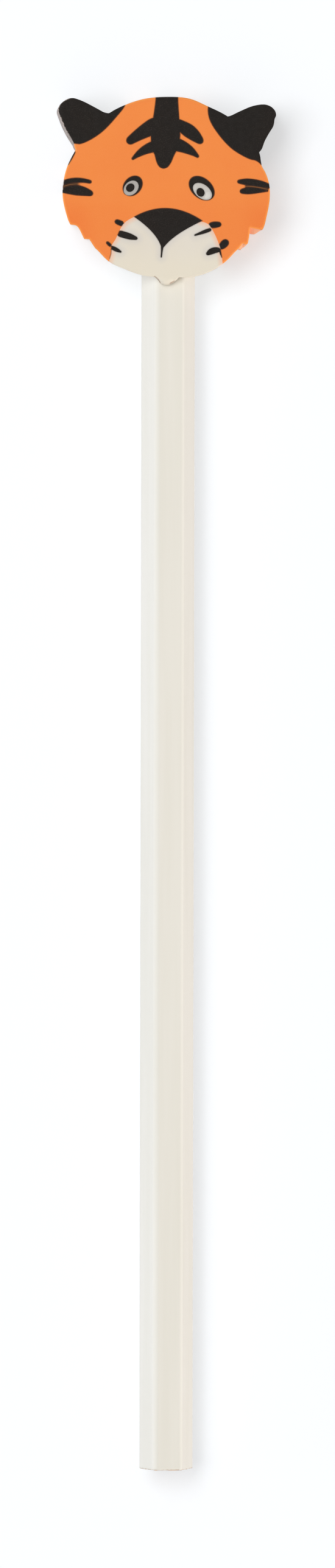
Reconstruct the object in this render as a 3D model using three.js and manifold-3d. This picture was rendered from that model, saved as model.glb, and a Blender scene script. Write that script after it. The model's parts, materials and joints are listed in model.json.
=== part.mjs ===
// A hexagonal wood-cased pencil with a flat rubber tiger's head pushed on its end.
// Millimetres, +Z up. The pencil lies along Y with the head at +Y, the back of the head on Z = 0.

import * as THREE from "three";
import { mergeVertices } from "three/addons/utils/BufferGeometryUtils.js";
import Module from "manifold-3d";

const wasm = await Module();
wasm.setup();

// Pencil, sizes over the lacquer
const pencilLength = 178;
const acrossFlats = 6.8;
const cornerRadius = 0.6;
const lacquerThickness = 0.12;
const coreDiameter = 2.2;
const shaftRoll = 5; // degrees

// Drawn gap between pieces that are bonded on the real thing
const bondGap = 0.02;

// Socket in the head
const insertDepth = 6.4;
const socketClearance = 0.1;
const socketEndGap = 0.4;
const socketWall = 1.5; // rubber over the flats of the pencil

// Head, its face without the ears
const faceWidth = 29.66;
const faceHeight = 25.75;
const faceShift = -0.33; // the face sits a little to the left of the pencil's axis
const lipWidth = 3.3;
const lipLength = 1.15;

// Head's drawing: places are shares of the face's half width and of its height, lengths are in half
// face widths on a face drawnAspect of them tall, and all of it stretches with the face
const drawnAspect = 1.736;

// Ears: the root's middle, the axis in degrees, and how far the walls lean out per unit of depth
const leftEar = { at: [-0.716, 0.804], angle: 131, length: 0.403, rootWidth: 0.494, lean: [-0.04, -0.035] };
const rightEar = { at: [0.747, 0.792], angle: 41.4, length: 0.381, rootWidth: 0.459, lean: [0, 0] };

// Muzzle and nose: sizes as shares of the face, and the nose's lower tip, where the mouth line starts
const muzzle = { width: 0.5496, height: 0.3379 };
const nose = { at: [-0.035, 0.161], width: 0.3304, height: 0.2214 };

// Round strands: place, axes, turn in degrees
const eyes = [
  { name: "left_pupil", at: [-0.345, 0.495], long: 0.089, short: 0.076, angle: 45 },
  { name: "left_eye_white", at: [-0.337, 0.493], long: 0.162, short: 0.124, angle: 45 },
  { name: "left_eye_rim", at: [-0.322, 0.505], long: 0.218, short: 0.169, angle: 48 },
  { name: "right_pupil", at: [0.333, 0.47], long: 0.089, short: 0.076, angle: -60 },
  { name: "right_eye_white", at: [0.351, 0.475], long: 0.209, short: 0.131, angle: -38 },
  { name: "right_eye_rim", at: [0.344, 0.493], long: 0.283, short: 0.194, angle: -41 },
];

// Brush-like strands: middle of the chord, its length and direction in degrees, the bow of the spine
// to its left, and the widths at equal steps along it
const crownStrokes = [
  {
    at: [-0.01, 0.854], length: 0.877, angle: -92.4,
    bow: 0.009, widths: [0.216, 0.216, 0.221, 0.251, 0.276, 0.283, 0.185, 0.108],
  },
  {
    at: [-0.211, 0.8], length: 0.385, angle: -149.5,
    bow: -0.012, widths: [0.169, 0.158, 0.131, 0.101, 0.074],
  },
  { at: [-0.197, 0.691], length: 0.3, angle: -152.3, bow: -0.024, widths: [0.12, 0.1, 0.067, 0.024] },
  { at: [0.179, 0.703], length: 0.303, angle: -26.4, bow: 0.024, widths: [0.14, 0.119, 0.082, 0.027] },
  {
    at: [0.206, 0.802], length: 0.353, angle: -35.7,
    bow: 0.02, widths: [0.094, 0.111, 0.131, 0.108, 0.057],
  },
];
const marks = [
  {
    name: "left_cheek_stripe_upper", at: [-0.874, 0.518], length: 0.314, angle: 4.2,
    bow: 0.03, widths: [0.04, 0.051, 0.05, 0.043, 0.034],
  },
  {
    name: "left_cheek_stripe_lower", at: [-0.867, 0.467], length: 0.326, angle: -5.6,
    bow: 0.024, widths: [0.034, 0.078, 0.1, 0.084, 0.047],
  },
  {
    name: "right_cheek_stripe_upper", at: [0.849, 0.5155], length: 0.33, angle: -8.6,
    bow: 0.014, widths: [0.034, 0.064, 0.069, 0.062, 0.04],
  },
  {
    name: "right_cheek_stripe_lower", at: [0.848, 0.476], length: 0.275, angle: 1.1,
    bow: 0.009, widths: [0.04, 0.067, 0.064, 0.042, 0.013],
  },
  {
    name: "left_whisker_1", side: "cheek", at: [-0.451, 0.301], length: 0.091, angle: -22.6,
    bow: 0, widths: [0.042, 0.051, 0.05],
  },
  {
    name: "left_whisker_2", side: "muzzle", at: [-0.372, 0.228], length: 0.205, angle: -16.2,
    bow: 0, widths: [0.057, 0.064, 0.057, 0.027],
  },
  {
    name: "left_whisker_3", side: "cheek", at: [-0.551, 0.182], length: 0.062, angle: -44,
    bow: 0, widths: [0.026, 0.031, 0.028],
  },
  {
    name: "left_whisker_4", side: "muzzle", at: [-0.483, 0.152], length: 0.12, angle: -26.3,
    bow: 0, widths: [0.027, 0.039, 0.035, 0.016],
  },
  {
    name: "right_whisker_1", side: "cheek", at: [0.472, 0.29], length: 0.125, angle: 5.3,
    bow: 0, widths: [0.04, 0.061, 0.058, 0.043],
  },
  {
    name: "right_whisker_2", side: "muzzle", at: [0.355, 0.248], length: 0.175, angle: 20.1,
    bow: 0, widths: [0.015, 0.026, 0.035, 0.032],
  },
  {
    name: "right_whisker_3", side: "cheek", at: [0.557, 0.181], length: 0.115, angle: 45.2,
    bow: 0, widths: [0.047, 0.074, 0.064],
  },
];
const lowWhisker = {
  at: [0.46, 0.136], length: 0.144, angle: 18.6, bow: 0.018, widths: [0.03, 0.057, 0.057, 0.04],
};
const lowWhiskerTail = {
  at: [0.527, 0.132], length: 0.091, angle: -74.5, bow: 0, widths: [0.02, 0.017, 0.005],
};
const mouthLine = {
  at: [-0.04, 0.141], length: 0.118, angle: -94.9, bow: 0, widths: [0.027, 0.016, 0.013],
};
const templeStripe = {
  at: [-0.913, 0.659], length: 0.147, angle: -116.7, bow: 0, widths: [0.02, 0.02, 0.008],
};

// Notches between the cheek tufts: apex, first side and opening in degrees, length of the sides, lean
const notches = [
  { at: [-0.861, 0.282], side: 167, opening: 133, reach: 0.148, lean: [0, 0] },
  { at: [-0.74, 0.208], side: 176, opening: 128, reach: 0.115, lean: [0, 0] },
  { at: [0.811, 0.274], side: -98.6, opening: 89, reach: 0.162, lean: [0, -0.09] },
  { at: [0.74, 0.186], side: -129, opening: 116, reach: 0.067, lean: [0.01, -0.07] },
];

// Outlines as shares of their own boxes: the face, the ears and their black patches, the muzzle
const faceOutline = [
  [0.022, 1], [-0.247, 0.984], [-0.551, 0.909], [-0.787, 0.788], [-0.881, 0.697], [-0.955, 0.61],
  [-0.993, 0.517], [-0.997, 0.443], [-0.961, 0.346], [-0.922, 0.289], [-0.794, 0.209], [-0.679, 0.157],
  [-0.544, 0.082], [-0.382, 0.039], [-0.214, 0.007], [0.022, 0], [0.258, 0], [0.44, 0.033],
  [0.582, 0.089], [0.7, 0.157], [0.791, 0.186], [0.929, 0.26], [0.973, 0.342], [1, 0.431],
  [0.997, 0.509], [0.966, 0.571], [0.922, 0.621], [0.899, 0.691], [0.798, 0.792], [0.595, 0.891],
  [0.4, 0.948], [0.225, 0.99],
];
const leftEarOutline = [
  [-0.038, -1.194], [0.07, -0.984], [0.164, -0.865], [0.341, -0.754], [0.739, -0.486], [0.937, -0.261],
  [1, 0.085], [0.957, 0.38], [0.742, 0.558], [0.39, 0.731], [0.065, 0.829], [-0.089, 0.957], [-0.4, 0.6],
  [-0.5, -0.8],
];
const rightEarOutline = [
  [-0.105, 1.114], [0.015, 0.985], [0.097, 0.935], [0.313, 0.835], [0.672, 0.623], [0.929, 0.306],
  [0.998, -0.031], [0.951, -0.276], [0.83, -0.393], [0.723, -0.55], [0.508, -0.666], [0.3, -0.792],
  [0, -1], [-0.4, -0.6], [-0.4, 0.6],
];
const leftPatchEdge = [
  [0.2, -2.2], [-0.027, -1.715], [-0.114, -1.086], [-0.159, -0.299], [-0.104, 0.346], [-0.018, 0.694],
  [0.072, 0.82], [0.2, 1],
];
const rightPatchEdge = [
  [0.1, 2.2], [-0.215, 1.863], [-0.393, 1.438], [-0.474, 0.774], [-0.466, -0.101], [-0.347, -0.766],
  [-0.261, -1.048], [-0.186, -1.218], [-0.176, -1.466], [-0.017, -1.7],
];
const lipOutline = [
  [1, -0.3], [0.85, 0.2], [0.55, 0.58], [0.26, 0.87], [0, 0.98], [-0.36, 1], [-0.62, 0.86], [-0.83, 0.45],
  [-1.1, 0.08], [-1.4, -0.3],
];
const muzzleOutline = [
  [-0.515, 1], [-0.724, 0.891], [-0.81, 0.77], [-0.883, 0.621], [-0.963, 0.494], [-0.957, 0.402],
  [-1, 0.241], [-1.031, -0.046], [0.049, -0.218], [1.055, -0.046], [1, 0.195], [0.982, 0.333],
  [0.957, 0.46], [0.896, 0.621], [0.81, 0.782], [0.736, 0.874], [0.605, 0.914], [0.294, 1.023],
  [-0.196, 1.046],
];

// Nose: corners from its lower tip as shares of its box, with the points that bend its sides
const nosePoints = {
  left: [-0.827, 0.781],
  bridge: [0.173, 1.263],
  right: [1.173, 0.684],
  rightBend: [0.308, 0.335],
  tipRight: [0.031, 0],
  tipLeft: [-0.027, 0],
  leftBend: [-0.14, 0.373],
};

// Resolution of curved outlines
const outlineStep = 0.02; // share of the face width
const strokeSteps = 12;
const ellipseSteps = 20;
const cornerSteps = 3;
const coreSteps = 24;

const socketSize = acrossFlats + 2 * socketClearance;
const headThickness = socketSize + 2 * socketWall;
const axisHeight = headThickness / 2;
const roll = THREE.MathUtils.degToRad(shaftRoll);
const sixth = Math.PI / 3;
const overcut = 1;

const colours = {
  orange: new THREE.MeshStandardMaterial({ color: 0xf38c4a, roughness: 0.75, metalness: 0 }),
  black: new THREE.MeshStandardMaterial({ color: 0x2b2422, roughness: 0.75, metalness: 0 }),
  cream: new THREE.MeshStandardMaterial({ color: 0xe5dccd, roughness: 0.75, metalness: 0 }),
  eyeWhite: new THREE.MeshStandardMaterial({ color: 0xc4c0b9, roughness: 0.75, metalness: 0 }),
  wood: new THREE.MeshStandardMaterial({ color: 0xc79a6b, roughness: 0.8, metalness: 0 }),
  graphite: new THREE.MeshStandardMaterial({ color: 0x3c3c3f, roughness: 0.5, metalness: 0.2 }),
  lacquer: new THREE.MeshStandardMaterial({ color: 0xebe6da, roughness: 0.3, metalness: 0 }),
};

function solidOf(geometry) {
  geometry.deleteAttribute("normal");
  geometry.deleteAttribute("uv");
  const welded = mergeVertices(geometry, 1e-4);
  const vertProperties = new Float32Array(welded.attributes.position.array);
  const triVerts = new Uint32Array(welded.index.array);
  return new wasm.Manifold(new wasm.Mesh({ numProp: 3, vertProperties, triVerts }));
}

function meshOf(name, solid, material) {
  const { vertProperties, triVerts } = solid.getMesh();
  const indexed = new THREE.BufferGeometry();
  indexed.setAttribute("position", new THREE.BufferAttribute(new Float32Array(vertProperties), 3));
  indexed.setIndex(new THREE.BufferAttribute(new Uint32Array(triVerts), 1));
  const geometry = indexed.toNonIndexed();
  geometry.computeVertexNormals();
  const mesh = new THREE.Mesh(geometry, material);
  mesh.name = name;
  return mesh;
}

function onFace([u, v]) {
  return new THREE.Vector2(faceShift + u * faceWidth / 2, v * faceHeight);
}

function curveThrough(points, closed) {
  const path = points.map((p) => new THREE.Vector3(p.x, p.y, 0));
  const curve = new THREE.CatmullRomCurve3(path, closed, "centripetal");
  const count = Math.round(curve.getLength() / (outlineStep * faceWidth));
  const sampled = curve.getSpacedPoints(count).map((p) => new THREE.Vector2(p.x, p.y));
  return closed ? sampled.slice(0, -1) : sampled;
}

// Turns an outline drawn in half face widths and puts it on the face
function placed(outline, at, angle) {
  const turn = THREE.MathUtils.degToRad(angle);
  const origin = new THREE.Vector2(0, 0);
  const stretch = new THREE.Vector2(faceWidth / 2, faceHeight / drawnAspect);
  return outline.map((p) => p.clone().rotateAround(origin, turn).multiply(stretch).add(onFace(at)));
}

// Moves an outline outwards
function grown(outline, distance) {
  const sense = Math.sign(THREE.ShapeUtils.area(outline));
  const last = outline.length - 1;
  return outline.map((p, i) => {
    const before = outline[i === 0 ? last : i - 1];
    const after = outline[i === last ? 0 : i + 1];
    const along = after.clone().sub(before).normalize();
    return new THREE.Vector2(p.x + along.y * sense * distance, p.y - along.x * sense * distance);
  });
}

function ellipse({ at, long, short, angle }) {
  const curve = new THREE.EllipseCurve(0, 0, long / 2, short / 2, 0, 2 * Math.PI);
  return placed(curve.getPoints(ellipseSteps).slice(0, -1), at, angle);
}

// A stroke with round ends: a bowed spine with a width that changes along it
function stroke({ at, length, angle, bow, widths }) {
  const spine = new THREE.QuadraticBezierCurve(
    new THREE.Vector2(-length / 2, 0),
    new THREE.Vector2(0, 2 * bow),
    new THREE.Vector2(length / 2, 0),
  );
  const profile = new THREE.SplineCurve(widths.map((w, i) => new THREE.Vector2(i, w)));
  const roundEnd = (distance, radius) => {
    const inside = Math.max(0, 1 - distance / radius);
    return Math.sqrt(1 - inside * inside);
  };
  const left = [];
  const right = [];
  for (let i = 0; i <= strokeSteps; i += 1) {
    const t = (1 - Math.cos(Math.PI * i / strokeSteps)) / 2;
    const p = spine.getPoint(t);
    const along = spine.getTangent(t);
    const starts = roundEnd(t * length, widths[0] / 2);
    const ends = roundEnd((1 - t) * length, widths[widths.length - 1] / 2);
    const half = profile.getPoint(t).y / 2 * starts * ends;
    left.push(new THREE.Vector2(p.x - along.y * half, p.y + along.x * half));
    right.unshift(new THREE.Vector2(p.x + along.y * half, p.y - along.x * half));
  }
  return placed([...left, ...right.slice(1, -1)], at, angle);
}

// Upright prism between two heights; the lean moves the outline with the depth under the face
function prism(outline, from, to, lean = [0, 0]) {
  const options = { depth: to - from, bevelEnabled: false };
  const geometry = new THREE.ExtrudeGeometry(new THREE.Shape(outline), options);
  geometry.translate(0, 0, from);
  const points = geometry.attributes.position;
  for (let i = 0; i < points.count; i += 1) {
    const depth = headThickness - points.getZ(i);
    points.setXY(i, points.getX(i) + lean[0] * depth, points.getY(i) + lean[1] * depth);
  }
  return solidOf(geometry);
}

function throughHead(outline, lean) {
  return prism(outline, -overcut, headThickness + overcut, lean);
}

// One rounded corner of a hexagon, drawn between two directions
function addCorner(section, size, radius, towards, from, to) {
  const distance = (size - 2 * radius) / Math.sqrt(3);
  section.absarc(distance * Math.cos(towards), distance * Math.sin(towards), radius, from, to, false);
}

function roundedHexagon(size, radius) {
  const section = new THREE.Shape();
  for (let i = 0; i < 6; i += 1) {
    addCorner(section, size, radius, i * sixth, (i - 0.5) * sixth, (i + 0.5) * sixth);
  }
  return section;
}

// Half of a rounded hexagon above its corner plane, with half of a round groove in it
function slatSection(size, radius, grooveRadius) {
  const cornerTurn = Math.asin(bondGap / 2 / radius);
  const grooveTurn = Math.asin(bondGap / 2 / grooveRadius);
  const section = new THREE.Shape();
  addCorner(section, size, radius, 0, cornerTurn, 0.5 * sixth);
  addCorner(section, size, radius, sixth, 0.5 * sixth, 1.5 * sixth);
  addCorner(section, size, radius, 2 * sixth, 1.5 * sixth, 2.5 * sixth);
  addCorner(section, size, radius, 3 * sixth, 2.5 * sixth, 3 * sixth - cornerTurn);
  const first = Math.PI - grooveTurn;
  const groove = new THREE.EllipseCurve(0, 0, grooveRadius, grooveRadius, first, grooveTurn, true);
  for (const p of groove.getPoints(coreSteps)) {
    section.lineTo(p.x, p.y);
  }
  return section;
}

// Bar along -Y from the origin, with its section upright
function bar(section, length, curveSegments) {
  const options = { depth: length, bevelEnabled: false, curveSegments };
  return new THREE.ExtrudeGeometry(section, options).rotateX(Math.PI / 2);
}

// Pencil: two grooved slats round the lead, and the lacquer round them
const woodSize = acrossFlats - 2 * lacquerThickness - 2 * bondGap;
const woodRadius = cornerRadius - lacquerThickness - bondGap;
const upperSection = slatSection(woodSize, woodRadius, coreDiameter / 2 + bondGap);
const coreSection = new THREE.Shape().absarc(0, 0, coreDiameter / 2, 0, 2 * Math.PI, false);
const coatSection = roundedHexagon(acrossFlats, cornerRadius);
const coatInside = roundedHexagon(acrossFlats - 2 * lacquerThickness, cornerRadius - lacquerThickness);
coatSection.holes.push(coatInside);
const upperSlat = bar(upperSection, pencilLength, cornerSteps);
const lowerSlat = upperSlat.clone().rotateY(Math.PI);

const pencil = new THREE.Group();
pencil.name = "pencil";
pencil.add(meshOf("upper_slat", solidOf(upperSlat), colours.wood));
pencil.add(meshOf("lower_slat", solidOf(lowerSlat), colours.wood));
pencil.add(meshOf("graphite_core", solidOf(bar(coreSection, pencilLength, coreSteps)), colours.graphite));
pencil.add(meshOf("lacquer_coat", solidOf(bar(coatSection, pencilLength, cornerSteps)), colours.lacquer));

// Head block: face and ears, less the notches and the socket, with the lip on the pencil
function earOutline(ear, outline, closed) {
  const local = outline.map(([a, b]) => new THREE.Vector2(a * ear.length, b * ear.rootWidth / 2));
  return curveThrough(placed(local, ear.at, ear.angle), closed);
}

function notchOutline({ at, side, opening, reach }) {
  const apex = new THREE.Vector2(0, 0);
  const first = new THREE.Vector2(reach, 0);
  const second = first.clone().rotateAround(apex, THREE.MathUtils.degToRad(opening));
  return placed([apex, first, first.clone().add(second), second], at, side);
}

function earSolid(ear, outline) {
  return prism(earOutline(ear, outline, true), 0, headThickness, ear.lean);
}

const face = prism(curveThrough(faceOutline.map(onFace), true), 0, headThickness);
let block = face.add(earSolid(leftEar, leftEarOutline)).add(earSolid(rightEar, rightEarOutline));
for (const notch of notches) {
  block = block.subtract(throughHead(notchOutline(notch), notch.lean));
}
const lip = lipOutline.map(([u, v]) => new THREE.Vector2(u * lipWidth / 2, -v * lipLength));
block = block.add(prism(curveThrough(lip, true), axisHeight, headThickness));
const headTop = block.boundingBox().max[1];

const socketSection = roundedHexagon(socketSize, cornerRadius + socketClearance);
const socket = bar(socketSection, pencilLength, cornerSteps).rotateY(roll);
block = block.subtract(solidOf(socket.translate(0, insertDepth + socketEndGap, axisHeight)));

// Strands, from the innermost colour outwards; each takes its region and leaves the rest
const head = new THREE.Group();
head.name = "head";

const muzzlePoints = muzzleOutline.map(([u, v]) => onFace([u * muzzle.width, v * muzzle.height]));
const muzzleCurve = curveThrough(muzzlePoints, true);
const muzzleRegion = throughHead(muzzleCurve);
const muzzleCut = throughHead(grown(muzzleCurve, bondGap));

// A mark on one side of the muzzle's border ends there
function addStrand(name, outlines, material, side) {
  let region = outlines.map((outline) => throughHead(outline)).reduce((a, b) => a.add(b));
  let cut = outlines.map((outline) => throughHead(grown(outline, bondGap))).reduce((a, b) => a.add(b));
  if (side === "muzzle") {
    region = region.intersect(muzzleRegion);
    cut = cut.intersect(muzzleCut);
  } else if (side === "cheek") {
    region = region.subtract(muzzleCut);
    cut = cut.subtract(muzzleRegion);
  }
  head.add(meshOf(name, block.intersect(region), material));
  block = block.subtract(cut);
}

function patchOutline(ear, edge) {
  const beyond = 1.4;
  const edgeCurve = earOutline(ear, edge, false);
  const ends = [edge[edge.length - 1], edge[0]].map(([, b]) => {
    return new THREE.Vector2(beyond * ear.length, b * ear.rootWidth / 2);
  });
  return [...edgeCurve, ...placed(ends, ear.at, ear.angle)];
}

function noseOutline() {
  const point = ([u, v]) => onFace([nose.at[0] + u * nose.width, nose.at[1] + v * nose.height]).toArray();
  const { left, bridge, right, rightBend, tipRight, tipLeft, leftBend } = nosePoints;
  const path = new THREE.Path();
  path.moveTo(...point(left));
  path.quadraticCurveTo(...point(bridge), ...point(right));
  path.quadraticCurveTo(...point(rightBend), ...point(tipRight));
  path.lineTo(...point(tipLeft));
  path.quadraticCurveTo(...point(leftBend), ...point(left));
  return path.getPoints(strokeSteps).slice(0, -1);
}

for (const eye of eyes) {
  addStrand(eye.name, [ellipse(eye)], eye.name.endsWith("white") ? colours.eyeWhite : colours.black);
}
addStrand("crown_stripe", crownStrokes.map(stroke), colours.black);
for (const mark of marks) {
  addStrand(mark.name, [stroke(mark)], colours.black, mark.side);
}
addStrand("right_whisker_4", [stroke(lowWhisker), stroke(lowWhiskerTail)], colours.black, "muzzle");
addStrand("left_ear", [patchOutline(leftEar, leftPatchEdge)], colours.black);
addStrand("right_ear", [patchOutline(rightEar, rightPatchEdge)], colours.black);
addStrand("left_temple_stripe", [stroke(templeStripe)], colours.black);
addStrand("nose", [noseOutline(), stroke(mouthLine)], colours.black);
addStrand("muzzle", [muzzleCurve], colours.cream);
head.add(meshOf("face_body", block, colours.orange));

// The overall length lies evenly about the origin
const chin = (pencilLength - insertDepth - headTop) / 2;
head.position.set(0, chin, 0);
pencil.position.set(0, chin + insertDepth, axisHeight);
pencil.rotation.y = roll;

const model = new THREE.Group();
model.name = "animal_head_pencil";
model.add(pencil, head);

export default model;
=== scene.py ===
import json
import math

import bpy
import numpy as np
from mathutils import Matrix, Vector
from mathutils.geometry import delaunay_2d_cdt
from mathutils.kdtree import KDTree

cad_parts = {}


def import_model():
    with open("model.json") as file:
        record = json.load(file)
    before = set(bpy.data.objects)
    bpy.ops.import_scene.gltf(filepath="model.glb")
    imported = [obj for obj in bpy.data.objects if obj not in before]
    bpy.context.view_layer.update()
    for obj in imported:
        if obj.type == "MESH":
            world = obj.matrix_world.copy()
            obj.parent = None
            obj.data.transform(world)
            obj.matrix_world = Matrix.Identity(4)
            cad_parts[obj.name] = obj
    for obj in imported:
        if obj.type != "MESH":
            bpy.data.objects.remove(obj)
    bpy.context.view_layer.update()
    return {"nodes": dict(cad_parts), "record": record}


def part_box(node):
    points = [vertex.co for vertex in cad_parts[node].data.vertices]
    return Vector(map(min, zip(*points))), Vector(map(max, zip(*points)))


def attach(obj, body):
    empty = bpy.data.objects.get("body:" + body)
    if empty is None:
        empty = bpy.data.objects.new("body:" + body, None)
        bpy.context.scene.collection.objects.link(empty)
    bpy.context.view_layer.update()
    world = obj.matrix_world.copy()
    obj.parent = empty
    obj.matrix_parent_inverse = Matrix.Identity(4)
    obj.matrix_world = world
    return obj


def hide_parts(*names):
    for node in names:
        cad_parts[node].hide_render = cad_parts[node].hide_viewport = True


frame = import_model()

# A white hexagonal pencil with a flat rubber tiger's head on its end. Lengths are in millimetres here
# and become metres when a mesh is made.
MM = 0.001

# The solids
HEAD_TOP = 10.0         # front face of the head
CHIN = 72.925           # where the pencil enters the head
AXIS_HEIGHT = 5.0       # pencil's axis over the table
ROLL = math.radians(5)  # pencil's turn about its axis
SOCKET_FLATS = 7.0
SOCKET_RADIUS = 0.7
SOCKET_DEPTH = 6.8
FRONT_SLACK = 0.002     # a corner this little below the front face is on it

# The head's edges
RIM = 0.13              # rounding of the cut edges
LIP_RIM = 0.75          # rounding of the lip on the pencil
LIP_START = 0.1         # where the lip's rounding begins below the chin
LIP_BLEND = 0.5         # and the length in which it grows to the full
SHARP = math.radians(36)

# The head's mesh
SNAP = 0.05             # strands closer than this share one border
CORNER = math.cos(math.radians(50))
SMOOTH_STEP = 0.24      # spacing along the outlines
RING_SHARES = (0.14, 0.45, 1.0)  # rows of points along the cut edge, in shares of RIM
RING_CLEAR = 0.93       # least distance from the edge, in shares of the row's own
RING_SPACING = 2.2      # spacing along a row, likewise
RING_TO_LINE = 0.06     # least distance of a row from other borders
LINE_OFFSET = 0.16      # points beside the borders: distance, least distance and spacing
LINE_CLEAR = 0.13
LINE_SPACING = 0.15
GRID_STEP = 0.34        # points inside the faces: spacing, row height in shares of it, least distances
GRID_ROW = 0.866
GRID_CLEAR = 0.24
GRID_SPACING = 0.22
FAR = 60.0              # half of a square round the face, for the triangulation
MERGE = 1e-5
OWN_SHARE = 0.3         # part of a region that its strand has to cover
WALL_LEVELS = 6
NO_BORDER = 99.0        # distance where there is no border to measure to
AWAY = 9.0              # distance given to corners that no border or seam colours

# The cutters, and which cut corners take the values of the corner nearest to them
CUT_BEFORE = 6.0        # how far the socket's cutter begins before the chin
LIP_ROOM = ((-2.6, 2.6), (CHIN - 4.0, CHIN + 0.03), (-2.0, AXIS_HEIGHT))  # in x, y and z
SAME_CORNER = 0.002
LIP_REACH = 0.8         # up to here behind the chin

# Places where the cut wall leans out towards the back: middle, full and fading radius, shift at the back
LEANS = (
    ((-13.2, CHIN + 23.1), 3.4, 6.2, (-0.31, -0.27)),
    ((11.75, CHIN + 7.0), 0.4, 1.85, (0.0, -0.85)),
    ((10.35, CHIN + 4.85), 0.25, 1.1, (0.0, -0.62)),
)

# Thin brown seams, from the chin: on the lip's two flanks, and under the lowest left whisker
SEAMS = (
    ((-1.95, 0.07), (-1.51, -0.3), (-1.14, -0.89)),
    ((0.27, -0.95), (0.93, -0.6)),
    ((-8.17, 3.93), (-8.21, 3.27), (-8.41, 2.61)),
)

# Order of the strands, from the inner ones to the ground; those not named come first
RANK = {"eye_white": 1, "eye_rim": 2, "nose": 3, "muzzle": 4, "face_body": 5}

# The lacquer film: width across the flats, radii of the six corners from +x, points on a corner and on a flat
FILM_OUTER = (6.82, (0.65, 0.65, 1.2, 0.65, 1.1, 1.1), 16, 20)
FILM_INNER = (6.58, (0.49,) * 6, 16, 20)
FILM_HALF = 3.4         # from the axis to a flat
FILM_ENDS = (0.0, 0.06, 0.16, 0.4)  # rings near each end
FILM_RINGS = 54         # and between them
END_ROUND = 0.16        # length and depth of the rounding at the ends
END_INSET = 0.05
WAVES = ((0.006, 0.31, 0.0), (0.004, 0.77, 1.3))  # height, radians a millimetre, phase
WAVE_FADE = 4.0         # waves die out this near to an end
CHIP_SEED = 4
CHIP_FADE = 1.2         # chips die out this far from an end
TAIL_CHIPS = ((-1.35, 0.35, 0.11), (0.95, 0.65, 0.13), (-3.3, 0.25, 0.08), (2.2, 0.2, 0.08))  # x, width, depth
FRONT_CHIPS = ((0.4, 0.6, 0.1),)

# Stage in metres, light in watts, camera in millimetres
FLOOR_HALF = 3.0
FLOOR_DROP = 0.00005
FLOOR_COLOUR = (0.47, 0.492, 0.512, 1)
FLOOR_GLOW = 0.524      # white that the camera and reflections see
SKY_LIGHT = 0.35
SKY_SEEN = 1.0
LAMPS = (               # name, direction, distance, size, power, colour, casts a shadow
    ("key", (-0.33, 0.2, 0.92), 3.0, (2.2, 1.3), 58.8, (1.0, 1.0, 1.0), True),
    ("fill", (0.85, -0.5, 0.1), 3.0, (1.7, 0.47), 63.5, (1.0, 0.945, 0.945), False),
    ("side", (-0.99, 0.0, 0.1), 1.6, (0.9, 0.25), 9.0, (0.7, 0.79, 1.0), True),
)
CAMERA_PLACE = (0.0, 75.0, 1791.8)
CAMERA_AIM = (0.0396, 0.0491, 5.0)
CAMERA_TILT = -0.0019
SENSOR = 36.0
LENS = 285.49

nodes = frame["nodes"]
slot_of = {row["node"]: row["material_slot"] for row in frame["record"]["subparts"]}
bodies = frame["record"]["behaviour"]["bodies"]


def rgb(r, g, b):
    """Linear colour of an 8-bit display colour."""
    def linear(v):
        v /= 255
        return v / 12.92 if v <= 0.04045 else ((v + 0.055) / 1.055) ** 2.4
    return (linear(r), linear(g), linear(b), 1.0)


def eased(t):
    """0 to 1 with a soft start and end."""
    return t * t * (3 - 2 * t)


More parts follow.
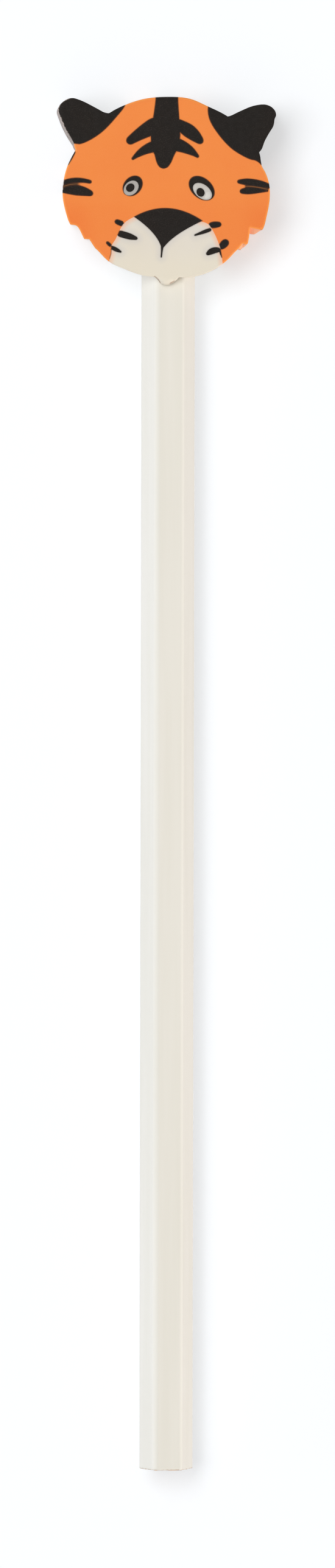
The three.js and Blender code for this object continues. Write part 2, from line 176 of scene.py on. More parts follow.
class Shader:
    """A material and short ways to add nodes to it."""

    def __init__(self, name):
        self.material = bpy.data.materials.new(name)
        self.material.use_nodes = True
        self.tree = self.material.node_tree
        self.bsdf = self.tree.nodes["Principled BSDF"]
        self.place = self.add("TexCoord").outputs["Object"]

    def set(self, socket, value):
        if isinstance(value, bpy.types.NodeSocket):
            self.tree.links.new(value, socket)
        else:
            socket.default_value = value

    def add(self, kind, inputs=None, **settings):
        node = self.tree.nodes.new("ShaderNode" + kind)
        for key, value in settings.items():
            setattr(node, key, value)
        for key, value in (inputs or {}).items():
            self.set(node.inputs[key], value)
        return node

    def noise(self, scale, detail=2.0, roughness=0.5, place=None):
        inputs = {"Vector": place or self.place, "Scale": scale, "Detail": detail, "Roughness": roughness}
        return self.add("TexNoise", inputs).outputs["Fac"]

    def span(self, value, low, high, to_low, to_high, smooth=True):
        """value from low to high becomes to_low to to_high."""
        kind = "SMOOTHSTEP" if smooth else "LINEAR"
        inputs = {"Value": value, "From Min": low, "From Max": high, "To Min": to_low, "To Max": to_high}
        return self.add("MapRange", inputs, interpolation_type=kind).outputs["Result"]

    def mix(self, share, first, second):
        node = self.add("Mix", data_type="RGBA")
        self.set(node.inputs["Factor"], share)
        self.set(node.inputs[6], first)
        self.set(node.inputs[7], second)
        return node.outputs[2]

    def math(self, operation, first, second=0.0):
        node = self.add("Math", operation=operation)
        self.set(node.inputs[0], first)
        self.set(node.inputs[1], second)
        return node.outputs[0]

    def times(self, first, second):
        return self.math("MULTIPLY", first, second)

    def attribute(self, name):
        return self.add("Attribute", attribute_name=name).outputs["Fac"]

    def axis(self, name):
        return self.add("SeparateXYZ", {"Vector": self.place}).outputs[name]

    def normal(self, name):
        facing = self.add("NewGeometry").outputs["True Normal"]
        return self.add("SeparateXYZ", {"Vector": facing}).outputs[name]

    def upright(self):
        """0 on faces that look up or down, 1 on upright walls."""
        return self.span(self.math("ABSOLUTE", self.normal("Z")), 0.25, 0.6, 1.0, 0.0)

    def ear_wall_dust_and_sheen(self, full):
        """1 on the left ear's outer wall, which is painted pale: dust with a painted grazing sheen."""
        near = self.span(self.attribute("ear"), 0.05, full, 0.0, 1.0)
        return self.times(near, self.span(self.normal("X"), -0.7, -0.3, 1.0, 0.0))

    def bump(self, height, strength, distance):
        inputs = {"Height": height, "Strength": strength, "Distance": distance}
        self.set(self.bsdf.inputs["Normal"], self.add("Bump", inputs).outputs["Normal"])

    def finish(self, colour, roughness, **values):
        self.set(self.bsdf.inputs["Base Color"], colour)
        self.set(self.bsdf.inputs["Roughness"], roughness)
        for key, value in values.items():
            self.set(self.bsdf.inputs[key.replace("_", " ")], value)
        return self.material

    def finish_rubber(self, colour, low, high, gloss):
        """Fine grain, and roughness that wanders from low to high."""
        self.bump(self.noise(2600, 3), 0.25, 0.00004)
        return self.finish(colour, self.span(self.noise(900, 3), 0.3, 0.7, low, high), Specular_IOR_Level=gloss)


def orange_rubber():
    s = Shader("orange_rubber")
    broad = s.span(s.noise(110, 3), 0.35, 0.65, 0.0, 1.0)
    colour = s.mix(broad, rgb(242, 138, 66), rgb(241, 135, 65))
    low = s.span(s.axis("Y"), (CHIN + 8) * MM, (CHIN + 12.5) * MM, 1.0, 0.0)
    outer = s.span(s.math("ABSOLUTE", s.axis("X")), 9.5 * MM, 13.5 * MM, 0.25, 1.0)
    colour = s.mix(s.times(low, outer), colour, rgb(239, 126, 58))
    grain = s.span(s.noise(5200, 2), 0.3, 0.7, 0.0, 0.14, False)
    colour = s.mix(grain, colour, rgb(250, 156, 88))
    # Painted highlight: a lighter, yellower band along the head's outer edge
    rim = s.span(s.attribute("to_edge"), 0.0, 0.34, 0.55, 0.0)
    colour = s.mix(rim, colour, rgb(252, 168, 84))
    colour = s.mix(s.span(s.attribute("to_black"), 0.0, 0.14, 0.5, 0.0), colour, rgb(80, 44, 30))
    # The cheek stripes almost touch: dark in the gap, with a brown line along its middle
    narrow = s.span(s.attribute("gap"), 0.3, 0.44, 1.0, 0.0)
    line = s.span(s.math("ABSOLUTE", s.attribute("split")), 0.04, 0.13, 0.75, 0.0)
    colour = s.mix(narrow, colour, s.mix(line, rgb(42, 31, 26), rgb(150, 98, 50)))
    colour = s.mix(s.span(s.attribute("seam"), 0.03, 0.13, 0.8, 0.0), colour, rgb(84, 48, 34))
    # Paler salmon on the two leaning notch walls: orange rubber with a painted sheen
    notch = s.span(s.attribute("notch"), 0.0, 0.3, 0.0, 1.0)
    wall = s.mix(notch, rgb(198, 148, 118), rgb(250, 176, 130))
    # Pale grey on the left ear's outer wall: dust with a painted grazing sheen
    wall = s.mix(s.ear_wall_dust_and_sheen(0.25), wall, rgb(178, 164, 153))
    colour = s.mix(s.times(s.upright(), 0.9), colour, wall)
    return s.finish_rubber(colour, 0.46, 0.6, 0.1)


def black_rubber():
    s = Shader("black_rubber")
    speck = s.span(s.noise(6400, 2, 0.6), 0.5, 0.78, 0.0, 0.8)
    colour = s.mix(speck, rgb(32, 28, 25), rgb(60, 52, 47))
    broad = s.span(s.noise(160, 2), 0.35, 0.65, 0.0, 0.5)
    colour = s.mix(broad, colour, rgb(30, 28, 26))
    colour = s.mix(s.span(s.attribute("to_orange"), 0.0, 0.15, 0.22, 0.0), colour, rgb(150, 82, 44))
    # Pale flecks on the left ear's outer edge
    edge = s.span(s.attribute("to_edge"), 0.03, 0.13, 1.0, 0.0)
    fleck = s.times(edge, s.span(s.noise(2400, 3, 0.7), 0.44, 0.56, 0.0, 0.9))
    left = s.span(s.axis("X"), -14.8 * MM, -13.4 * MM, 1.0, 0.0)
    colour = s.mix(s.times(fleck, left), colour, rgb(196, 180, 166))
    bloom = s.span(s.noise(700, 4, 0.6), 0.3, 0.7, 0.0, 1.0)
    wall = s.mix(bloom, rgb(58, 53, 50), rgb(78, 72, 68))
    # Pale grey mottling on the left ear's outer wall: dust with a painted grazing sheen
    dust_and_sheen = s.span(s.noise(2600, 4, 0.7), 0.36, 0.5, 0.0, 1.0)
    wall = s.mix(s.times(dust_and_sheen, s.ear_wall_dust_and_sheen(0.3)), wall, rgb(190, 176, 165))
    colour = s.mix(s.upright(), colour, wall)
    s.bump(s.noise(3600, 3), 0.35, 0.00004)
    return s.finish(colour, s.span(s.noise(1400, 3), 0.3, 0.7, 0.5, 0.66), Specular_IOR_Level=0.067)


def cream_rubber():
    s = Shader("cream_rubber")
    broad = s.span(s.noise(130, 3), 0.35, 0.65, 0.0, 1.0)
    colour = s.mix(broad, rgb(226, 218, 204), rgb(224, 215, 199))
    low = s.span(s.axis("Y"), (CHIN + 0.5) * MM, (CHIN + 6) * MM, 1.0, 0.0)
    colour = s.mix(s.times(low, 0.8), colour, rgb(230, 221, 201))
    colour = s.mix(s.span(s.attribute("to_black"), 0.0, 1.1, 0.55, 0.0), colour, rgb(208, 203, 197))
    colour = s.mix(s.span(s.attribute("to_orange"), 0.0, 0.9, 0.62, 0.0), colour, rgb(243, 186, 150))
    colour = s.mix(s.span(s.attribute("to_black"), 0.0, 0.17, 0.4, 0.0), colour, rgb(92, 80, 74))
    blotch = s.span(s.noise(900, 3), 0.48, 0.66, 0.0, 0.6)
    worn = s.times(blotch, s.span(s.upright(), 0.0, 1.0, 1.0, 0.2))
    edge = s.times(s.span(s.attribute("to_edge"), 0.0, 0.1, 1.0, 0.0), worn)
    colour = s.mix(edge, colour, rgb(196, 170, 146))
    colour = s.mix(s.span(s.attribute("seam"), 0.02, 0.16, 0.85, 0.0), colour, rgb(150, 112, 84))
    return s.finish_rubber(colour, 0.44, 0.58, 0.135)


def white_rubber():
    s = Shader("white_rubber")
    broad = s.span(s.noise(700, 3), 0.35, 0.65, 0.0, 1.0)
    right = s.span(s.axis("X"), -2 * MM, 2 * MM, 0.0, 1.0)
    colour = s.mix(right, rgb(182, 177, 171), rgb(217, 213, 206))
    colour = s.mix(s.times(broad, 0.35), colour, rgb(188, 184, 178))
    colour = s.mix(s.span(s.attribute("to_black"), 0.0, 0.3, 0.6, 0.0), colour, rgb(150, 144, 138))
    return s.finish_rubber(colour, 0.44, 0.58, 0.135)


def white_lacquer():
    s = Shader("white_lacquer")
    streak = s.add("Mapping", {"Vector": s.place, "Scale": (1.0, 0.04, 1.0)}).outputs["Vector"]
    broad = s.span(s.noise(500, 3, 0.5, streak), 0.35, 0.65, 0.0, 1.0)
    colour = s.mix(broad, rgb(231, 227, 216), rgb(228, 224, 212))
    fleck = s.span(s.noise(2600, 2, 0.4), 0.8, 0.86, 0.0, 0.3)
    colour = s.mix(fleck, colour, rgb(200, 184, 166))
    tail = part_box("lacquer_coat")[0].y
    end = s.span(s.axis("Y"), tail + 0.04 * MM, tail + 0.2 * MM, 1.0, 0.0)
    worn = s.times(end, s.span(s.noise(3600, 3, 0.6), 0.45, 0.6, 0.1, 0.9))
    colour = s.mix(worn, colour, rgb(176, 140, 104))
    s.bump(s.noise(900, 2, 0.5, streak), 0.05, 0.00001)
    roughness = s.span(s.noise(420, 3), 0.3, 0.7, 0.53, 0.6)
    return s.finish(colour, roughness, Coat_Weight=0.135, Coat_Roughness=0.5, Specular_IOR_Level=0.236)


def casing_wood():
    s = Shader("casing_wood")
    bend = s.add("Mapping", {"Vector": s.place, "Rotation": (0.0, 0.35, 0.0), "Scale": (1.0, 0.08, 1.0)})
    rings = s.add("TexWave", {
        "Vector": bend.outputs["Vector"], "Scale": 260.0, "Distortion": 2.4, "Detail": 3.0, "Detail Scale": 1.6,
    }, bands_direction="Z").outputs["Fac"]
    colour = s.mix(s.span(rings, 0.2, 0.9, 0.0, 1.0), rgb(212, 170, 124), rgb(182, 132, 88))
    pores = s.span(s.noise(4200, 2, 0.6), 0.6, 0.72, 0.0, 0.6)
    colour = s.mix(pores, colour, rgb(128, 88, 58))
    s.bump(s.noise(3400, 4, 0.6), 0.5, 0.00005)
    return s.finish(colour, s.span(s.noise(1200, 3), 0.3, 0.7, 0.66, 0.85))


def graphite():
    s = Shader("graphite")
    broad = s.span(s.noise(2600, 4, 0.6), 0.3, 0.7, 0.0, 1.0)
    colour = s.mix(broad, rgb(62, 62, 65), rgb(84, 84, 88))
    s.bump(s.noise(5200, 3), 0.4, 0.00003)
    return s.finish(colour, s.span(s.noise(1800, 3), 0.3, 0.7, 0.3, 0.5), Metallic=0.25)


materials = {
    "orange_rubber": orange_rubber(),
    "black_rubber": black_rubber(),
    "cream_rubber": cream_rubber(),
    "white_rubber": white_rubber(),
    "white_lacquer": white_lacquer(),
    "casing_wood": casing_wood(),
    "graphite": graphite(),
}


# The head's drawing, read from the front faces of its solids

def front_edges(name):
    """Border of a solid's front face: its corners in millimetres, and pairs of them."""
    mesh = nodes[name].data
    mesh.calc_loop_triangles()
    corners = np.empty(len(mesh.vertices) * 3, np.float32)
    mesh.vertices.foreach_get("co", corners)
    corners = corners.reshape(-1, 3).astype(float) / MM
    triangles = np.empty(len(mesh.loop_triangles) * 3, np.int32)
    mesh.loop_triangles.foreach_get("vertices", triangles)
    triangles = triangles.reshape(-1, 3)
    front = triangles[(corners[triangles][:, :, 2] > HEAD_TOP - FRONT_SLACK).all(1)]
    places, welded = np.unique(np.round(corners[:, :2], 3), axis=0, return_inverse=True)
    welded = welded.reshape(-1)
    seen = {}
    for a, b, c in welded[front]:
        for pair in ((a, b), (b, c), (c, a)):
            key = (min(pair), max(pair))
            seen[key] = seen.get(key, 0) + 1
    return places, [pair for pair, count in seen.items() if count == 1]


def rank(name):
    return max((r for part, r in RANK.items() if name.endswith(part)), default=0)


class Places:
    """Points on the face, where points nearer than SNAP are one."""

    def __init__(self):
        self.points = []
        self.cells = {}

    def index(self, p):
        cell = (math.floor(p[0] / SNAP), math.floor(p[1] / SNAP))
        best, found = SNAP, None
        for i in (-1, 0, 1):
            for j in (-1, 0, 1):
                for k in self.cells.get((cell[0] + i, cell[1] + j), ()):
                    away = math.hypot(p[0] - self.points[k][0], p[1] - self.points[k][1])
                    if away < best:
                        best, found = away, k
        if found is None:
            found = len(self.points)
            self.points.append((float(p[0]), float(p[1])))
            self.cells.setdefault(cell, []).append(found)
        return found


def chains(points, edges):
    """The borders as runs of points between junctions and sharp corners."""
    around = {}
    for a, b in edges:
        around.setdefault(a, []).append(b)
        around.setdefault(b, []).append(a)

    def stops(i):
        if len(around[i]) != 2:
            return True
        p = np.array(points[i])
        u = p - points[around[i][0]]
        v = np.array(points[around[i][1]]) - p
        return float(u @ v) < CORNER * np.linalg.norm(u) * np.linalg.norm(v)

    ends = {i for i in around if stops(i)}
    left = {(min(e), max(e)) for e in edges}
    runs = []

    def walk(start, following):
        run = [start, following]
        left.discard((min(run), max(run)))
        while run[-1] not in ends and run[-1] != start:
            onward = [k for k in around[run[-1]] if (min(k, run[-1]), max(k, run[-1])) in left]
            if not onward:
                break
            left.discard((min(onward[0], run[-1]), max(onward[0], run[-1])))
            run.append(onward[0])
        runs.append(run)

    for i in sorted(ends):
        for k in sorted(around[i]):
            if (min(i, k), max(i, k)) in left:
                walk(i, k)
    while left:
        walk(*min(left))
    return runs


def smooth(run, points):
    """Points of a smooth curve through a run, SMOOTH_STEP apart."""
    p = [np.array(points[i]) for i in run]
    closed = run[0] == run[-1] and len(run) > 3
    before = p[-2] if closed else 2 * p[0] - p[1]
    after = p[1] if closed else 2 * p[-1] - p[-2]
    p = [before, *p, after]
    out = []
    for i in range(1, len(p) - 2):
        a, b, c, d = p[i - 1:i + 3]
        t1 = max(np.linalg.norm(b - a), 1e-6) ** 0.5
        t2 = t1 + max(np.linalg.norm(c - b), 1e-6) ** 0.5
        t3 = t2 + max(np.linalg.norm(d - c), 1e-6) ** 0.5
        count = max(1, math.ceil(np.linalg.norm(c - b) / SMOOTH_STEP))
        for k in range(count):
            t = t1 + (t2 - t1) * k / count
            ab = (t1 - t) / t1 * a + t / t1 * b
            bc = (t2 - t) / (t2 - t1) * b + (t - t1) / (t2 - t1) * c
            cd = (t3 - t) / (t3 - t2) * c + (t - t2) / (t3 - t2) * d
            abc = (t2 - t) / t2 * ab + t / t2 * bc
            bcd = (t3 - t) / (t3 - t1) * bc + (t - t1) / (t3 - t1) * cd
            out.append((t2 - t) / (t2 - t1) * abc + (t - t1) / (t2 - t1) * bcd)
    out.append(p[-2])
    return out


def inside(points, places, pairs):
    """Whether each point lies inside a border given as corner pairs."""
    hits = np.zeros(len(points), int)
    for a, b in pairs:
        (ax, ay), (bx, by) = places[a], places[b]
        if ay == by:
            continue
        crosses = (points[:, 1] < ay) != (points[:, 1] < by)
        at = ax + (points[:, 1] - ay) * (bx - ax) / (by - ay)
        hits += crosses & (points[:, 0] < at)
    return hits % 2 == 1


def distance(points, starts, ends):
    """Distance of each point from the nearest of some segments."""
    if not len(starts):
        return np.full(len(points), NO_BORDER)
    best = np.empty(len(points))
    along = ends - starts
    length = np.maximum((along ** 2).sum(1), 1e-12)
    batch = 512
    for first in range(0, len(points), batch):
        p = points[first:first + batch, None, :]
        t = np.clip(((p - starts) * along).sum(2) / length, 0, 1)
        away = p - starts - t[:, :, None] * along
        best[first:first + batch] = np.sqrt((away ** 2).sum(2)).min(1)
    return best


strands = sorted(bodies["topper"], key=rank)
borders = {name: front_edges(name) for name in strands}
found = Places()
outline = set()
for name in strands:
    places, pairs = borders[name]
    index = [found.index(p) for p in places]
    for a, b in pairs:
        if index[a] != index[b]:
            outline.add((min(index[a], index[b]), max(index[a], index[b])))

drawn = Places()
drawn_edges = set()
for run in chains(found.points, sorted(outline)):
    index = [drawn.index(p) for p in smooth(run, found.points)]
    for a, b in zip(index, index[1:]):
        if a != b:
            drawn_edges.add((min(a, b), max(a, b)))
frame_corners = [(-FAR, CHIN - FAR), (FAR, CHIN - FAR), (FAR, CHIN + FAR), (-FAR, CHIN + FAR)]


def divided(extra):
    """Triangles of the face with its borders and extra points, and the strand of each (or -1)."""
    given = drawn.points + frame_corners + list(map(tuple, extra))
    result = delaunay_2d_cdt([Vector(p) for p in given], sorted(drawn_edges), [], 0, MERGE)
    places = np.array([tuple(p) for p in result[0]])
    triangles = np.array([f[:3] for f in result[2]], int)
    fixed = {tuple(sorted(e)) for e, origin in zip(result[1], result[4]) if origin}
    beside = {}
    for t, corners in enumerate(triangles):
        for a, b in zip(corners, np.roll(corners, -1)):
            beside.setdefault((min(a, b), max(a, b)), []).append(t)
    owner = list(range(len(triangles)))

    def top(i):
        while owner[i] != i:
            owner[i] = owner[owner[i]]
            i = owner[i]
        return i

    for edge, sides in beside.items():
        if len(sides) == 2 and edge not in fixed:
            owner[top(sides[0])] = top(sides[1])
    region = np.array([top(i) for i in range(len(triangles))])
    a, b, c = (places[triangles[:, k]] for k in range(3))
    area = np.abs((b - a)[:, 0] * (c - a)[:, 1] - (b - a)[:, 1] * (c - a)[:, 0]) / 2
    middle = (a + b + c) / 3
    votes = np.zeros((len(strands), len(triangles)))
    for k, name in enumerate(strands):
        votes[k] = inside(middle, *borders[name]) * area
    label = np.full(len(triangles), -1)
    outside = {region[t] for sides in beside.values() if len(sides) == 1 for t in sides}
    slivers = []
    for r in np.unique(region):
        own = region == r
        score = votes[:, own].sum(1)
        if r in outside:
            continue
        if score.max() > OWN_SHARE * area[own].sum():
            label[own] = int(score.argmax())
        else:
            slivers.append(own)
    for own in slivers:
        near = {}
        for edge, sides in beside.items():
            if len(sides) == 2 and own[sides[0]] != own[sides[1]]:
                other = sides[1] if own[sides[0]] else sides[0]
                if label[other] >= 0:
                    reach = np.linalg.norm(places[edge[0]] - places[edge[1]])
                    near[label[other]] = near.get(label[other], 0) + reach
        if near:
            label[own] = max(near, key=near.get)
    return places, triangles, label, beside, fixed


def rims(label, beside):
    """Pairs of corners along the head's own outline."""
    return [e for e, s in beside.items() if len(s) == 2 and (label[s[0]] < 0) != (label[s[1]] < 0)]


def ends_of(pairs):
    """First and second points of corner pairs."""
    return places[[e[0] for e in pairs]], places[[e[1] for e in pairs]]


def beside_lines(a, b, offset):
    """Points on both sides of segments, beside their middles and ends."""
    along = (b - a) / np.maximum(np.linalg.norm(b - a, axis=1), 1e-9)[:, None]
    normal = np.stack([-along[:, 1], along[:, 0]], 1)
    out = []
    for side in (-1, 1):
        out += [(a + b) / 2 + side * offset * normal, a + side * offset * normal]
    return np.concatenate(out)


def thinned(points, spacing, kept):
    """The points that are not too near each other, or to the kept ones."""
    cells = {}
    out = []

    def near(p):
        x, y = math.floor(p[0] / spacing), math.floor(p[1] / spacing)
        for i in (-1, 0, 1):
            for j in (-1, 0, 1):
                for q in cells.get((x + i, y + j), ()):
                    if (p[0] - q[0]) ** 2 + (p[1] - q[1]) ** 2 < spacing ** 2:
                        return True
        return False

    def keep(p):
        cells.setdefault((math.floor(p[0] / spacing), math.floor(p[1] / spacing)), []).append(p)

    for p in kept:
        keep(p)
    for p in points:
        if not near(p):
            keep(p)
            out.append(p)
    return out


# A first division finds the borders; the second has points along them and inside
places, triangles, label, beside, fixed = divided([])
rim = rims(label, beside)
rim_a, rim_b = ends_of(rim)
line_a, line_b = ends_of([e for e in fixed if any(label[t] >= 0 for t in beside.get(e, []))])

extra = []
for share in RING_SHARES:
    d = share * RIM
    ring = beside_lines(rim_a, rim_b, d)
    ring = ring[distance(ring, rim_a, rim_b) > RING_CLEAR * d]
    ring = ring[distance(ring, line_a, line_b) > min(RING_CLEAR * d, RING_TO_LINE)]
    extra += thinned(ring, min(RING_SPACING * d, LINE_SPACING), extra)
near_lines = beside_lines(line_a, line_b, LINE_OFFSET)
near_lines = near_lines[distance(near_lines, line_a, line_b) > LINE_CLEAR]
extra += thinned(near_lines, LINE_SPACING, extra)
low, high = rim_a.min(0), rim_a.max(0)
columns = np.arange(low[0], high[0], GRID_STEP)
rows = np.arange(low[1], high[1], GRID_STEP * GRID_ROW)
grid = np.array([(x + GRID_STEP / 2 * (j % 2), y) for j, y in enumerate(rows) for x in columns])
grid = grid[distance(grid, line_a, line_b) > GRID_CLEAR]
extra += thinned(grid, GRID_SPACING, extra)
extra = np.array(extra)
extra = extra[inside(extra, places, rim)]

places, triangles, label, beside, fixed = divided(extra)
to_edge = distance(places, *ends_of(rims(label, beside)))


def to_slot(slot):
    """Distance of each point from the borders of one colour."""
    own = {k for k, name in enumerate(strands) if slot_of[name] == slot}
    pairs = []
    for e, s in beside.items():
        sides = [label[t] for t in s]
        if len(s) == 2 and (sides[0] in own) != (sides[1] in own) and min(sides) >= 0:
            pairs.append(e)
    return distance(places, *ends_of(pairs))


def to_strand(name):
    """Distance of each point from one strand's border."""
    own = strands.index(name)
    pairs = [e for e, s in beside.items() if len(s) == 2 and (label[s[0]] == own) != (label[s[1]] == own)]
    return distance(places, *ends_of(pairs))


# What the materials need at each point: distances, the gap between cheek stripes, and where walls lean
upper = np.stack([to_strand(side + "_cheek_stripe_upper") for side in ("left", "right")])
lower = np.stack([to_strand(side + "_cheek_stripe_lower") for side in ("left", "right")])
nearer = np.argmin(upper + lower, 0)[None, :]
seam_pairs = [(a, b) for seam in SEAMS for a, b in zip(seam, seam[1:])]
seam_ends = [np.array([pair[k] for pair in seam_pairs]) + (0, CHIN) for k in (0, 1)]
around = {
    "to_edge": to_edge,
    "to_black": to_slot("black_rubber"),
    "to_orange": to_slot("orange_rubber"),
    "gap": np.take_along_axis(upper + lower, nearer, 0)[0],
    "split": np.take_along_axis(upper - lower, nearer, 0)[0],
    "seam": distance(places, *seam_ends),
}
lip = eased(np.clip((CHIN - LIP_START - places[:, 1]) / LIP_BLEND, 0, 1))
radius = RIM + (LIP_RIM - RIM) * lip
fall = radius - np.sqrt(np.maximum(radius ** 2 - (radius - to_edge) ** 2, 0))
drop = np.where(to_edge < radius, fall, 0)
shift = np.zeros_like(places)
leaning = []
for middle, full, fade, by in LEANS:
    away = np.linalg.norm(places - np.array(middle), axis=1)
    share = eased(np.clip((fade - away) / (fade - full), 0, 1))
    shift += share[:, None] * np.array(by)
    leaning.append(share)
around["ear"] = leaning[0]
around["notch"] = np.maximum(leaning[1], leaning[2])


def write_mesh(name, corners, faces, values=None):
    """Mesh in metres with smooth faces and sharp edges, and values at its corners."""
    mesh = bpy.data.meshes.new(name)
    mesh.from_pydata([tuple(np.asarray(p) * MM) for p in corners], [], faces)
    for key, value in (values or {}).items():
        mesh.attributes.new(key, "FLOAT", "POINT").data.foreach_set("value", np.asarray(value, np.float32))
    mesh.polygons.foreach_set("use_smooth", np.ones(len(mesh.polygons), bool))
    mesh.set_sharp_from_angle(angle=SHARP)
    return mesh


def put(name, mesh, body, slot, *replaced):
    """Object of a mesh that rides on a body and stands for CAD nodes."""
    made = bpy.data.objects.new(name, mesh)
    bpy.context.scene.collection.objects.link(made)
    mesh.materials.append(materials[slot])
    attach(made, body)
    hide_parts(*replaced)
    return made


def strand_mesh(k):
    """One strand: its front and back faces, and the walls between them."""
    own = triangles[label == k]
    used = np.unique(own)
    local = {int(v): i for i, v in enumerate(used)}
    count = len(used)
    sides = dict.fromkeys((int(a), int(b)) for t in own for a, b in zip(t, np.roll(t, -1)))
    border = [e for e in sides if (e[1], e[0]) not in sides]
    edge_points = sorted({v for e in border for v in e})
    level = {v: i for i, v in enumerate(edge_points)}
    corners = [(*places[v], HEAD_TOP - drop[v]) for v in used]
    corners += [(*(places[v] + shift[v]), drop[v]) for v in used]
    source = list(used) * 2
    for step in range(1, WALL_LEVELS):
        share = step / WALL_LEVELS
        for v in edge_points:
            z = (HEAD_TOP - drop[v]) * (1 - share) + drop[v] * share
            corners.append((*(places[v] + shift[v] * (HEAD_TOP - z) / HEAD_TOP), z))
            source.append(v)

    def at(v, step):
        if step == 0:
            return local[v]
        if step == WALL_LEVELS:
            return count + local[v]
        return 2 * count + (step - 1) * len(edge_points) + level[v]

    faces = [tuple(local[int(v)] for v in t) for t in own]
    faces += [tuple(count + local[int(v)] for v in t[::-1]) for t in own]
    for a, b in border:
        for step in range(WALL_LEVELS):
            faces.append((at(b, step), at(a, step), at(a, step + 1), at(b, step + 1)))
    source = np.array(source, int)
    values = {key: value[source] for key, value in around.items()}
    values["seam"][count:] = AWAY  # seams show on the front face alone
    return corners, faces, values


def hexagon(flats, radii, arc_steps, flat_steps):
    """Points of a rounded hexagon in x and z, its first corner towards +x before the pencil's roll."""
    arcs = []
    for i, r in enumerate(radii):
        towards = i * math.pi / 3
        middle = np.array((math.cos(towards), math.sin(towards))) * (flats - 2 * r) / math.sqrt(3)
        turns = [towards + math.pi / 6 * (2 * k / arc_steps - 1) for k in range(arc_steps + 1)]
        arcs.append([middle + r * np.array((math.cos(a), math.sin(a))) for a in turns])
    out = []
    for arc, following in zip(arcs, arcs[1:] + arcs[:1]):
        out += arc
        out += [arc[-1] + (following[0] - arc[-1]) * k / flat_steps for k in range(1, flat_steps)]
    out = np.array(out)
    c, s = math.cos(ROLL), math.sin(ROLL)
    return np.stack([out[:, 0] * c + out[:, 1] * s, out[:, 1] * c - out[:, 0] * s], 1)


def tube_faces(rings, around_count):
    """Outward faces between rings of points that follow each other along +y."""
    faces = []
    for r in range(rings - 1):
        for k in range(around_count):
            n = (k + 1) % around_count
            a, b = r * around_count + k, r * around_count + n
            faces.append((a + around_count, b + around_count, b, a))
    return faces


def cutters():
    """The socket, and the room under the lip."""
    section = hexagon(SOCKET_FLATS, (SOCKET_RADIUS,) * 6, 6, 3)
    n = len(section)
    corners = [(x, y, z + AXIS_HEIGHT) for y in (CHIN - CUT_BEFORE, CHIN + SOCKET_DEPTH) for x, z in section]
    faces = tube_faces(2, n)
    faces += [tuple(range(n)), tuple(range(2 * n - 1, n - 1, -1))]
    across, along, high = LIP_ROOM
    box = [(x, y, z) for z in high for y in along for x in across]
    sides = [(0, 2, 3, 1), (4, 5, 7, 6), (0, 1, 5, 4), (1, 3, 7, 5), (3, 2, 6, 7), (2, 0, 4, 6)]
    made = []
    for name, shape in (("socket_cutter", (corners, faces)), ("lip_cutter", (box, sides))):
        made.append(bpy.data.objects.new(name, write_mesh(name, *shape)))
        bpy.context.scene.collection.objects.link(made[-1])
    return made


def cut(piece, tools, corners, values):
    """Take the tools out of a piece, and give its new corners their values."""
    for shape in tools:
        change = piece.modifiers.new(shape.name, "BOOLEAN")
        change.operation = "DIFFERENCE"
        change.solver = "EXACT"
        change.object = shape
    ready = piece.evaluated_get(bpy.context.evaluated_depsgraph_get())
    mesh = bpy.data.meshes.new_from_object(ready)
    piece.modifiers.clear()
    piece.data = mesh
    mesh.set_sharp_from_angle(angle=SHARP)
    old = KDTree(len(corners))
    for i, p in enumerate(corners):
        old.insert(p, i)
    old.balance()
    source = []
    for vertex in mesh.vertices:
        p = vertex.co / MM
        _, i, away = old.find(p)
        source.append(i if away < SAME_CORNER or p.y < CHIN + LIP_REACH else -1)
    source = np.array(source, int)
    for key, value in values.items():
        plain = 0.0 if key in ("ear", "notch") else AWAY
        given = np.where(source < 0, plain, value[source]).astype(np.float32)
        mesh.attributes[key].data.foreach_set("value", given)


tools = cutters()
for k, name in enumerate(strands):
    corners, faces, values = strand_mesh(k)
    mesh = write_mesh(name + "_rubber", corners, faces, values)
    piece = put(name + "_rubber", mesh, "topper", slot_of[name], name)
    if any(abs(x) < SOCKET_FLATS / math.sqrt(3) and y < CHIN + SOCKET_DEPTH for x, y, z in corners):
        cut(piece, tools, corners, values)
for shape in tools:
    bpy.data.objects.remove(shape)


# Pencil: the lacquer film with its chipped ends, round the wood and the lead

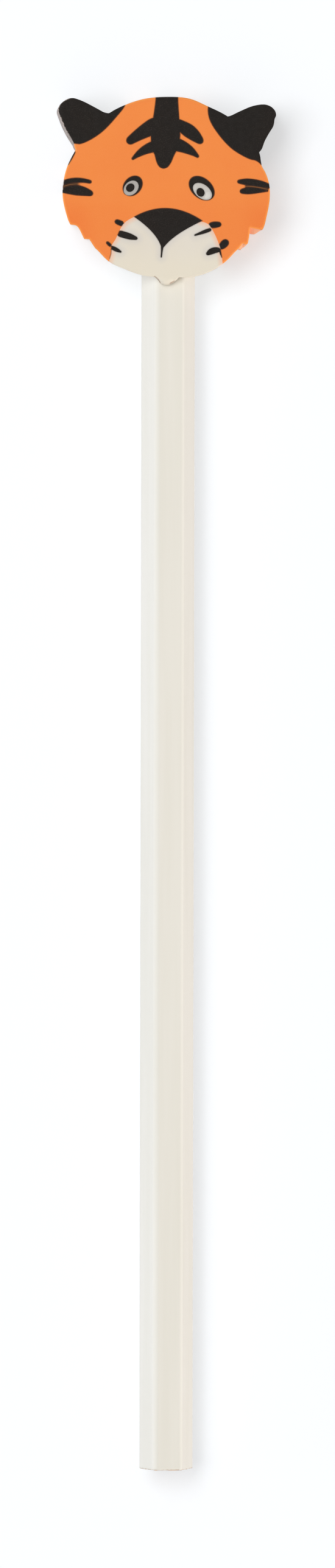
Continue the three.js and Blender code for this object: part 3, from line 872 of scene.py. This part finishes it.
def lacquer_film():
    low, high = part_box("lacquer_coat")
    tail, front = low.y / MM, high.y / MM
    length = front - tail
    outer = hexagon(*FILM_OUTER)
    inner = hexagon(*FILM_INNER)
    n = len(outer)
    rng = np.random.default_rng(CHIP_SEED)

    def chips(places):
        """How far the film has broken back from the end, all round."""
        back = 0.01 + 0.03 * rng.random(n) ** 2
        for x, wide, deep in places:
            near = np.clip(1.4 - np.abs(outer[:, 0] - x) / wide, 0, 1) * (outer[:, 1] > 0)
            back = np.maximum(back, deep * near * (0.45 + 0.55 * rng.random(n)))
        return back

    at_tail = chips(TAIL_CHIPS)
    at_front = chips(FRONT_CHIPS)
    stations = [*FILM_ENDS, *np.linspace(CHIP_FADE, length - CHIP_FADE, FILM_RINGS)]
    stations += [length - d for d in reversed(FILM_ENDS)]
    corners = []
    for d in stations:
        near = min(d, length - d)
        inset = END_INSET * max(0.0, 1 - near / END_ROUND) ** 2
        wave = sum(height * math.sin(d * turn + phase) for height, turn, phase in WAVES)
        size = 1 - (inset + wave * min(1.0, near / WAVE_FADE)) / FILM_HALF
        from_tail = max(0.0, 1 - d / CHIP_FADE)
        from_front = max(0.0, 1 - (length - d) / CHIP_FADE)
        for k in range(n):
            x, z = outer[k] * size
            y = tail + d + (at_tail[k] * from_tail - at_front[k] * from_front)
            corners.append((x, y, z + AXIS_HEIGHT))
    for end, chip, sign in ((front, at_front, -1), (tail, at_tail, 1)):
        for k in range(n):
            corners.append((inner[k][0], end + sign * chip[k], inner[k][1] + AXIS_HEIGHT))
    rings = len(stations) + 2
    faces = tube_faces(rings, n)
    last = (rings - 1) * n
    for k in range(n):
        m = (k + 1) % n
        faces.append((m, last + m, last + k, k))
    put("lacquer_film", write_mesh("lacquer_film", corners, faces), "pencil", "white_lacquer", "lacquer_coat")


lacquer_film()
for name in bodies["pencil"]:
    if name == "lacquer_coat":
        continue
    data = nodes[name].data
    data.materials.clear()
    data.materials.append(materials[slot_of[name]])


# Stage, light and camera

def looked_at(tree):
    """1 for rays of the camera, of reflections and through clear pieces, 0 for other light."""
    path = tree.nodes.new("ShaderNodeLightPath")
    share = path.outputs["Is Camera Ray"]
    for name in ("Is Glossy Ray", "Is Transmission Ray"):
        either = tree.nodes.new("ShaderNodeMath")
        either.operation = "MAXIMUM"
        tree.links.new(share, either.inputs[0])
        tree.links.new(path.outputs[name], either.inputs[1])
        share = either.outputs[0]
    return share


def floor():
    """Pale matt plane, with some white of its own where it is looked at."""
    mesh = bpy.data.meshes.new("floor")
    square = [(-1, -1), (1, -1), (1, 1), (-1, 1)]
    mesh.from_pydata([(x * FLOOR_HALF, y * FLOOR_HALF, 0) for x, y in square], [], [(0, 1, 2, 3)])
    plane = bpy.data.objects.new("floor", mesh)
    plane.location.z = -FLOOR_DROP
    bpy.context.scene.collection.objects.link(plane)
    material = bpy.data.materials.new("floor")
    material.use_nodes = True
    tree = material.node_tree
    tree.nodes.remove(tree.nodes["Principled BSDF"])
    level = tree.nodes.new("ShaderNodeMath")
    level.operation = "MULTIPLY"
    tree.links.new(looked_at(tree), level.inputs[0])
    level.inputs[1].default_value = FLOOR_GLOW
    glow = tree.nodes.new("ShaderNodeEmission")
    tree.links.new(level.outputs[0], glow.inputs["Strength"])
    matt = tree.nodes.new("ShaderNodeBsdfDiffuse")
    matt.inputs["Color"].default_value = FLOOR_COLOUR
    both = tree.nodes.new("ShaderNodeAddShader")
    tree.links.new(matt.outputs[0], both.inputs[0])
    tree.links.new(glow.outputs[0], both.inputs[1])
    tree.links.new(both.outputs[0], tree.nodes["Material Output"].inputs["Surface"])
    mesh.materials.append(material)


def world():
    """Even light from all round, white where it is looked at."""
    made = bpy.data.worlds.new("studio")
    bpy.context.scene.world = made
    made.use_nodes = True
    tree = made.node_tree
    back = tree.nodes["Background"]
    back.inputs["Color"].default_value = (1, 1, 1, 1)
    level = tree.nodes.new("ShaderNodeMapRange")
    tree.links.new(looked_at(tree), level.inputs["Value"])
    level.inputs["To Min"].default_value = SKY_LIGHT
    level.inputs["To Max"].default_value = SKY_SEEN
    tree.links.new(level.outputs["Result"], back.inputs["Strength"])


def lamp(name, towards, distance_m, size, power, colour, shadow):
    """Broad soft lamp that shines at the object from a direction."""
    data = bpy.data.lights.new(name, "AREA")
    data.shape = "RECTANGLE"
    data.size, data.size_y = size
    data.energy = power
    data.color = colour
    data.use_shadow = shadow
    made = bpy.data.objects.new(name, data)
    direction = Vector(towards).normalized()
    made.location = direction * distance_m
    made.rotation_mode = "QUATERNION"
    made.rotation_quaternion = direction.to_track_quat("Z", "Y")
    bpy.context.scene.collection.objects.link(made)


def camera():
    """Straight over the head, aimed at the middle of the pencil."""
    place = Vector(CAMERA_PLACE) * MM
    aim = Vector(CAMERA_AIM) * MM
    forward = (aim - place).normalized()
    right = forward.cross(Vector((math.sin(CAMERA_TILT), math.cos(CAMERA_TILT), 0.0))).normalized()
    up = right.cross(forward)
    data = bpy.data.cameras.new("camera")
    data.sensor_width = SENSOR
    data.lens = LENS
    made = bpy.data.objects.new("camera", data)
    turned = Matrix((right, up, -forward)).transposed().to_4x4()
    turned.translation = place
    made.matrix_world = turned
    bpy.context.scene.collection.objects.link(made)
    bpy.context.scene.camera = made


floor()
world()
for row in LAMPS:
    lamp(*row)
camera()
bpy.context.scene.view_settings.view_transform = "Standard"
